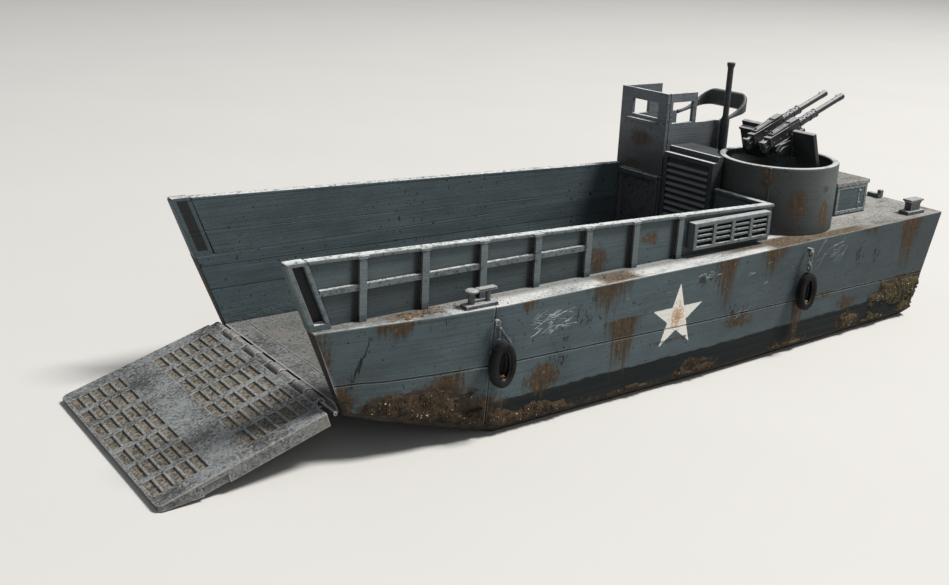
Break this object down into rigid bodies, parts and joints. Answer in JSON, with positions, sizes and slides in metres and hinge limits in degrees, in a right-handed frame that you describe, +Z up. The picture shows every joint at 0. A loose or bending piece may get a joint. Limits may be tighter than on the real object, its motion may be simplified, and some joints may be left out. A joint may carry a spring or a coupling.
{
  "type": "tabletop miniature military landing craft",
  "caption": "Flat-bottomed miniature landing craft with a lowered bow ramp, an open well, a steering console and a twin gun in a round tub.",
  "frame": {"origin": "middle of the bounding box, on the flat underside of the hull", "axes": "+X towards the bow, +Y to port, +Z up"},
  "size_m": [0.2772, 0.0904, 0.0832],
  "materials": {
    "hull_paint": "matte, brushed sea grey with rust and mud",
    "deck_paint": "matte, dusty grey",
    "dark_paint": "matte, dark grey with pale edges",
    "gun_paint": "satin black with grey edges",
    "fender_black": "matte black"
  },
  "bodies": {
    "craft": {"hull": "hull_paint", "well_floor": "deck_paint", "bow_sill": "deck_paint", "hinge_pin": "dark_paint", "coaming_port": "hull_paint", "coaming_starboard": "hull_paint", "bow_post_port": "hull_paint", "bow_post_starboard": "hull_paint", "bulkhead": "hull_paint", "vent_housing": "hull_paint", "vent_louvres": "dark_paint", "side_vent_port": "hull_paint", "side_vent_starboard": "hull_paint", "console_front": "hull_paint", "console_lower": "hull_paint", "console_side_port": "hull_paint", "console_side_starboard": "hull_paint", "console_floor": "deck_paint", "exhaust_pipe": "dark_paint", "guard_band": "dark_paint", "gun_tub": "hull_paint", "tub_floor": "deck_paint", "gun_pedestal": "hull_paint", "hatch_box": "hull_paint", "hatch_lid": "deck_paint", "bollard_stern_port": "dark_paint", "bollard_stern_starboard": "dark_paint", "bollard_bow_port": "dark_paint", "bollard_bow_starboard": "dark_paint", "cleat_stern_port": "dark_paint", "cleat_stern_starboard": "dark_paint", "fender_fore_port": "fender_black", "fender_fore_starboard": "fender_black", "fender_aft_port": "fender_black", "fender_aft_starboard": "fender_black", "fender_line_fore_port": "dark_paint", "fender_line_fore_starboard": "dark_paint", "fender_line_aft_port": "dark_paint", "fender_line_aft_starboard": "dark_paint"},
    "bow_ramp": {"ramp": "deck_paint"},
    "gun_mount": {"gun_carriage": "dark_paint"},
    "twin_gun": {"gun_port": "gun_paint", "gun_starboard": "gun_paint", "gun_cradle": "gun_paint", "gun_shield_port": "gun_paint", "gun_shield_starboard": "gun_paint"}
  },
  "joints": [
    {"name": "ramp_hinge", "type": "hinge", "parent": "craft", "child": "bow_ramp", "pos_m": [0.09475, 0, 0.0136], "axis": [0, -1, 0], "range_deg": [0, 86]},
    {"name": "gun_train", "type": "hinge", "parent": "craft", "child": "gun_mount", "pos_m": [-0.07444, 0.0181, 0.058], "axis": [0, 0, 1], "continuous": true},
    {"name": "gun_elevation", "type": "hinge", "parent": "gun_mount", "child": "twin_gun", "pos_m": [-0.07464, 0.0181, 0.0643], "axis": [0, 1, 0], "range_deg": [-22, 32]}
  ]
}
